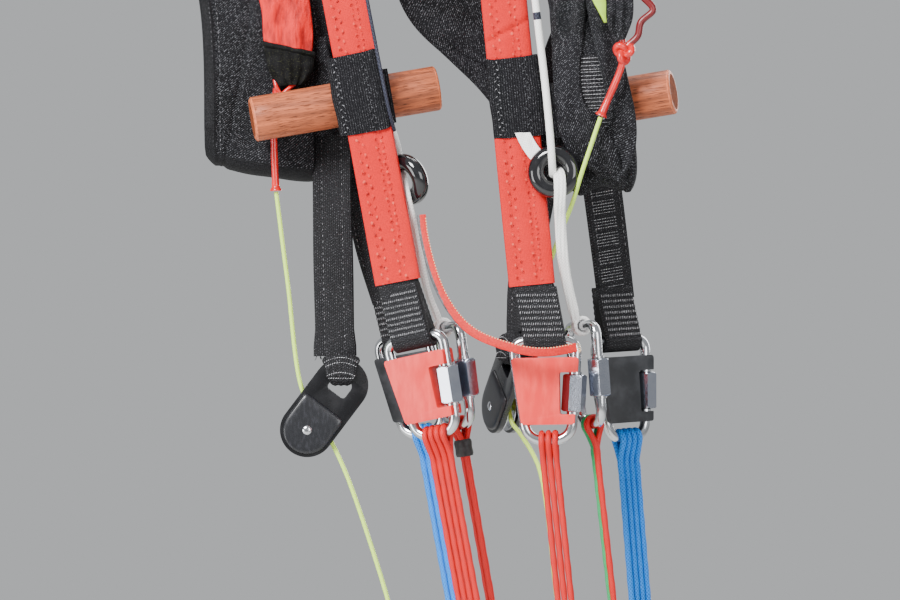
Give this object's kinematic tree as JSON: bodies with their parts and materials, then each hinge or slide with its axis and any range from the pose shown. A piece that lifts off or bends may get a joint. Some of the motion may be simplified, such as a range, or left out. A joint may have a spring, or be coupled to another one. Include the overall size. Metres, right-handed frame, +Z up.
{
  "type": "pair of paraglider risers",
  "caption": "Left and right riser sets of a paraglider with quick links, brake handles, pulleys, wooden toggles and the first stretch of the lines.",
  "frame": {"origin": "centre of the eye of the left main loop, where the harness carabiner holds it", "axes": "+X to the right set, +Y away from the viewer of the picture, +Z up"},
  "size_m": [0.2074, 0.0749, 0.6044],
  "materials": {
    "black_webbing": "woven polyester webbing, matt, fine ribs",
    "red_fabric": "woven red cover, stitched in rows",
    "black_fabric": "coarse woven pad cover, matt",
    "elastic": "knitted elastic band",
    "wood": "oiled hardwood, fine grain",
    "white_cord": "bare white braid",
    "red_cord": "braided red sheath",
    "blue_cord": "braided blue sheath",
    "bright_cord": "braided yellow-green line",
    "polished_steel": "polished stainless steel",
    "bright_fabric": "coated yellow-green cloth",
    "red_insert": "moulded soft red plastic",
    "dark_insert": "moulded dark grey plastic",
    "black_plastic": "smooth black moulded plastic"
  },
  "bodies": {
    "root": {"red_ribbon": "red_fabric", "left_main_loop": "black_webbing", "left_front_riser": "red_fabric", "left_toggle_keeper": "elastic", "left_rear_riser": "black_webbing", "left_front_webbing_end": "black_webbing", "left_brake_strap": "black_webbing", "left_pulley_block": "black_plastic", "left_brake_handle": "black_fabric", "left_handle_neck": "red_fabric", "left_brake_sheath": "red_cord", "left_brake_line": "bright_cord", "left_guide_ring": "black_plastic", "left_ring_tab": "white_cord", "left_speed_cord": "white_cord", "left_tether": "white_cord", "right_main_loop": "black_webbing", "right_front_riser": "red_fabric", "right_toggle_keeper": "elastic", "right_rear_riser": "black_webbing", "right_front_webbing_end": "black_webbing", "right_brake_strap": "black_webbing", "right_pulley_block": "black_plastic", "right_brake_handle": "black_fabric", "right_handle_neck": "black_fabric", "right_brake_sheath": "red_cord", "right_brake_line": "bright_cord", "right_guide_ring": "black_plastic", "right_ring_tab": "white_cord", "right_speed_cord": "white_cord", "right_tether": "white_cord", "right_neck_tip": "bright_fabric"},
    "left_toggle": {"left_toggle": "wood"},
    "left_sheave": {"left_pulley_sheave": "polished_steel"},
    "left_front_link": {"left_front_link": "polished_steel", "left_front_nut": "polished_steel", "left_front_insert": "red_insert", "left_front_lines": "red_cord"},
    "left_rear_link": {"left_rear_link": "polished_steel", "left_rear_nut": "polished_steel", "left_rear_insert": "dark_insert", "left_rear_lines": "blue_cord"},
    "left_third_link": {"left_third_link": "polished_steel", "left_third_nut": "polished_steel", "left_third_lines": "red_cord", "left_third_band": "elastic"},
    "right_toggle": {"right_toggle": "wood"},
    "right_sheave": {"right_pulley_sheave": "polished_steel"},
    "right_front_link": {"right_front_link": "polished_steel", "right_front_nut": "polished_steel", "right_front_insert": "red_insert", "right_front_lines": "red_cord"},
    "right_rear_link": {"right_rear_link": "polished_steel", "right_rear_nut": "polished_steel", "right_rear_insert": "dark_insert", "right_rear_lines": "blue_cord"},
    "right_third_link": {"right_third_link": "polished_steel", "right_third_nut": "polished_steel", "right_third_lines": "red_cord"}
  },
  "joints": [
    {"name": "left_toggle_slide", "type": "slide", "parent": "root", "child": "left_toggle", "axis": [0.98, 0.103, 0.1702], "range_m": [-0.02, 0.007]},
    {"name": "left_sheave_spin", "type": "hinge", "parent": "root", "child": "left_sheave", "pos_m": [0.04687, 0.018, -0.50843], "axis": [0, 1, 0], "continuous": true},
    {"name": "left_front_link_swing", "type": "hinge", "parent": "root", "child": "left_front_link", "pos_m": [0.0901, -0.012, -0.4712], "axis": [-0.8699, 0.454, -0.1928], "range_deg": [0, 35]},
    {"name": "left_rear_link_swing", "type": "hinge", "parent": "root", "child": "left_rear_link", "pos_m": [0.0861, 0.032, -0.4712], "axis": [0.8761, -0.454, 0.1624], "range_deg": [0, 35]},
    {"name": "left_third_link_swing", "type": "hinge", "parent": "root", "child": "left_third_link", "pos_m": [0.1017, 0.005, -0.4672], "axis": [0.5083, -0.8572, 0.0832], "range_deg": [0, 10]},
    {"name": "right_toggle_slide", "type": "slide", "parent": "root", "child": "right_toggle", "axis": [0.9661, -0.2054, 0.1564], "range_m": [-0.007, 0.012]},
    {"name": "right_sheave_spin", "type": "hinge", "parent": "root", "child": "right_sheave", "pos_m": [0.12594, 0.02602, -0.4989], "axis": [0.9272, 0.3746, 0], "continuous": true},
    {"name": "right_front_link_swing", "type": "hinge", "parent": "root", "child": "right_front_link", "pos_m": [0.1425, -0.012, -0.4724], "axis": [-0.9974, 0.0698, -0.0174], "range_deg": [0, 35]},
    {"name": "right_rear_link_swing", "type": "hinge", "parent": "root", "child": "right_rear_link", "pos_m": [0.1733, 0.032, -0.4724], "axis": [0.8176, 0.5736, 0.05], "range_deg": [0, 35]},
    {"name": "right_third_link_swing", "type": "hinge", "parent": "root", "child": "right_third_link", "pos_m": [0.1573, 0.0026, -0.4664], "axis": [0.4203, -0.9063, 0.0442], "range_deg": [0, 10]}
  ]
}
